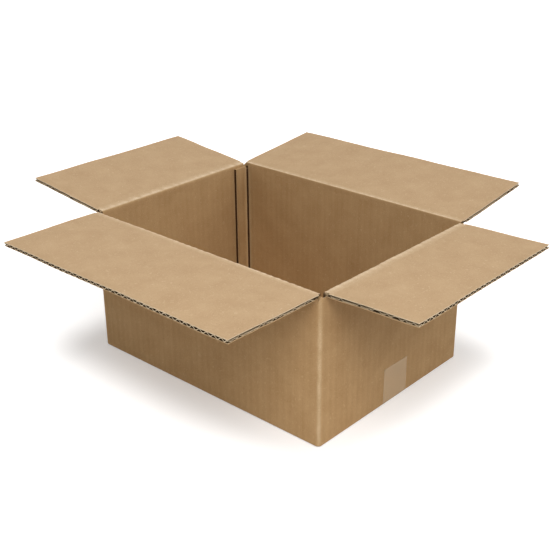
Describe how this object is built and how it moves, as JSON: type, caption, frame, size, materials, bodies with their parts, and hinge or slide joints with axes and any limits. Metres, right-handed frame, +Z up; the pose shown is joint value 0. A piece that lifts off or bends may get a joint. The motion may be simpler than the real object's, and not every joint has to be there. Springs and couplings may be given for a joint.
{
  "type": "cardboard box",
  "caption": "Open corrugated cardboard box with four hinged top flaps, a glued side joint and a taped bottom seam.",
  "frame": {"origin": "middle of the face that the box stands on, under the bottom seam's tape", "axes": "+Z up, +X along the long walls towards the shorter of the two short top flaps, -Y towards the front long wall"},
  "size_m": [0.5135, 0.4502, 0.1669],
  "materials": {
    "kraft_board": "matt unbleached kraft liner over corrugated board",
    "clear_tape": "clear packing tape, semi-gloss"
  },
  "bodies": {
    "box": {"box_body": "kraft_board", "bottom_tape": "clear_tape"},
    "front": {"front_flap": "kraft_board"},
    "back": {"back_flap": "kraft_board"},
    "left": {"left_flap": "kraft_board"},
    "right": {"right_flap": "kraft_board"}
  },
  "joints": [
    {"name": "front_crease", "type": "hinge", "parent": "box", "child": "front", "pos_m": [0, -0.1129, 0.1536], "axis": [-1, 0, 0], "range_deg": [-60.5, 179.5]},
    {"name": "back_crease", "type": "hinge", "parent": "box", "child": "back", "pos_m": [0, 0.1129, 0.1536], "axis": [1, 0, 0], "range_deg": [-66, 174]},
    {"name": "left_crease", "type": "hinge", "parent": "box", "child": "left", "pos_m": [-0.15265, 0, 0.15185], "axis": [0, 1, 0], "range_deg": [-95.5, 174.5]},
    {"name": "right_crease", "type": "hinge", "parent": "box", "child": "right", "pos_m": [0.15265, 0, 0.15185], "axis": [0, -1, 0], "range_deg": [-91.7, 178.3]}
  ]
}
